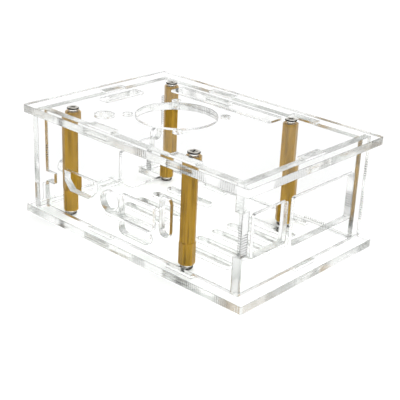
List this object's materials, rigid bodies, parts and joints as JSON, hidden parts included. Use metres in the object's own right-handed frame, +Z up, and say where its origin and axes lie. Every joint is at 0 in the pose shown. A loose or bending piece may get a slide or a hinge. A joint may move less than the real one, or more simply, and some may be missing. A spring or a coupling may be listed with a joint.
{
  "type": "single board computer enclosure",
  "caption": "Clear laser-cut acrylic box for a credit-card-size computer board, with port cut-outs, a fan opening, brass hex standoffs and flat thin-head screws.",
  "frame": {"origin": "centre of the footprint, level with the undersides of the lower screw heads that it stands on", "axes": "+X along the long side towards the wall with the network and data openings, +Y towards the plain back wall, +Z up through the fan opening"},
  "size_m": [0.104, 0.07, 0.042],
  "materials": {
    "clear_acrylic": "polished faces, laser-cut edges",
    "brass": "drawn hex bar, dull bright",
    "screw_steel": "nickel plated"
  },
  "bodies": {
    "base": {"bottom_plate": "clear_acrylic", "lower_standoff_front_left": "brass", "lower_standoff_front_right": "brass", "lower_standoff_back_left": "brass", "lower_standoff_back_right": "brass"},
    "wall_frame": {"front_wall": "clear_acrylic", "back_wall": "clear_acrylic", "left_wall": "clear_acrylic", "right_wall": "clear_acrylic"},
    "lid": {"top_plate": "clear_acrylic"},
    "upper_standoff_front_left": {"upper_standoff_front_left": "brass"},
    "upper_standoff_front_right": {"upper_standoff_front_right": "brass"},
    "upper_standoff_back_left": {"upper_standoff_back_left": "brass"},
    "upper_standoff_back_right": {"upper_standoff_back_right": "brass"},
    "top_screw_front_left": {"top_screw_front_left": "screw_steel"},
    "top_screw_front_right": {"top_screw_front_right": "screw_steel"},
    "top_screw_back_left": {"top_screw_back_left": "screw_steel"},
    "top_screw_back_right": {"top_screw_back_right": "screw_steel"},
    "bottom_screw_front_left": {"bottom_screw_front_left": "screw_steel"},
    "bottom_screw_front_right": {"bottom_screw_front_right": "screw_steel"},
    "bottom_screw_back_left": {"bottom_screw_back_left": "screw_steel"},
    "bottom_screw_back_right": {"bottom_screw_back_right": "screw_steel"}
  },
  "joints": [
    {"name": "wall_lift", "type": "slide", "parent": "base", "child": "wall_frame", "axis": [0, 0, 1], "range_m": [0, 0.05]},
    {"name": "lid_lift", "type": "slide", "parent": "wall_frame", "child": "lid", "axis": [0, 0, 1], "range_m": [0, 0.03]},
    {"name": "standoff_turn_front_left", "type": "hinge", "parent": "base", "child": "upper_standoff_front_left", "pos_m": [-0.037, -0.0247, 0.01145], "axis": [0, 0, 1], "range_deg": [0, 3440]},
    {"name": "standoff_turn_front_right", "type": "hinge", "parent": "base", "child": "upper_standoff_front_right", "pos_m": [0.021, -0.0247, 0.01145], "axis": [0, 0, 1], "range_deg": [0, 3440]},
    {"name": "standoff_turn_back_left", "type": "hinge", "parent": "base", "child": "upper_standoff_back_left", "pos_m": [-0.037, 0.0243, 0.01145], "axis": [0, 0, 1], "range_deg": [0, 3440]},
    {"name": "standoff_turn_back_right", "type": "hinge", "parent": "base", "child": "upper_standoff_back_right", "pos_m": [0.021, 0.0243, 0.01145], "axis": [0, 0, 1], "range_deg": [0, 3440]},
    {"name": "top_screw_turn_front_left", "type": "hinge", "parent": "lid", "child": "top_screw_front_left", "pos_m": [-0.037, -0.0247, 0.04135], "axis": [0, 0, 1], "range_deg": [0, 2480]},
    {"name": "top_screw_turn_front_right", "type": "hinge", "parent": "lid", "child": "top_screw_front_right", "pos_m": [0.021, -0.0247, 0.04135], "axis": [0, 0, 1], "range_deg": [0, 2480]},
    {"name": "top_screw_turn_back_left", "type": "hinge", "parent": "lid", "child": "top_screw_back_left", "pos_m": [-0.037, 0.0243, 0.04135], "axis": [0, 0, 1], "range_deg": [0, 2480]},
    {"name": "top_screw_turn_back_right", "type": "hinge", "parent": "lid", "child": "top_screw_back_right", "pos_m": [0.021, 0.0243, 0.04135], "axis": [0, 0, 1], "range_deg": [0, 2480]},
    {"name": "bottom_screw_turn_front_left", "type": "hinge", "parent": "base", "child": "bottom_screw_front_left", "pos_m": [-0.037, -0.0247, 0.00065], "axis": [0, 0, -1], "range_deg": [0, 2560]},
    {"name": "bottom_screw_turn_front_right", "type": "hinge", "parent": "base", "child": "bottom_screw_front_right", "pos_m": [0.021, -0.0247, 0.00065], "axis": [0, 0, -1], "range_deg": [0, 2560]},
    {"name": "bottom_screw_turn_back_left", "type": "hinge", "parent": "base", "child": "bottom_screw_back_left", "pos_m": [-0.037, 0.0243, 0.00065], "axis": [0, 0, -1], "range_deg": [0, 2560]},
    {"name": "bottom_screw_turn_back_right", "type": "hinge", "parent": "base", "child": "bottom_screw_back_right", "pos_m": [0.021, 0.0243, 0.00065], "axis": [0, 0, -1], "range_deg": [0, 2560]}
  ]
}
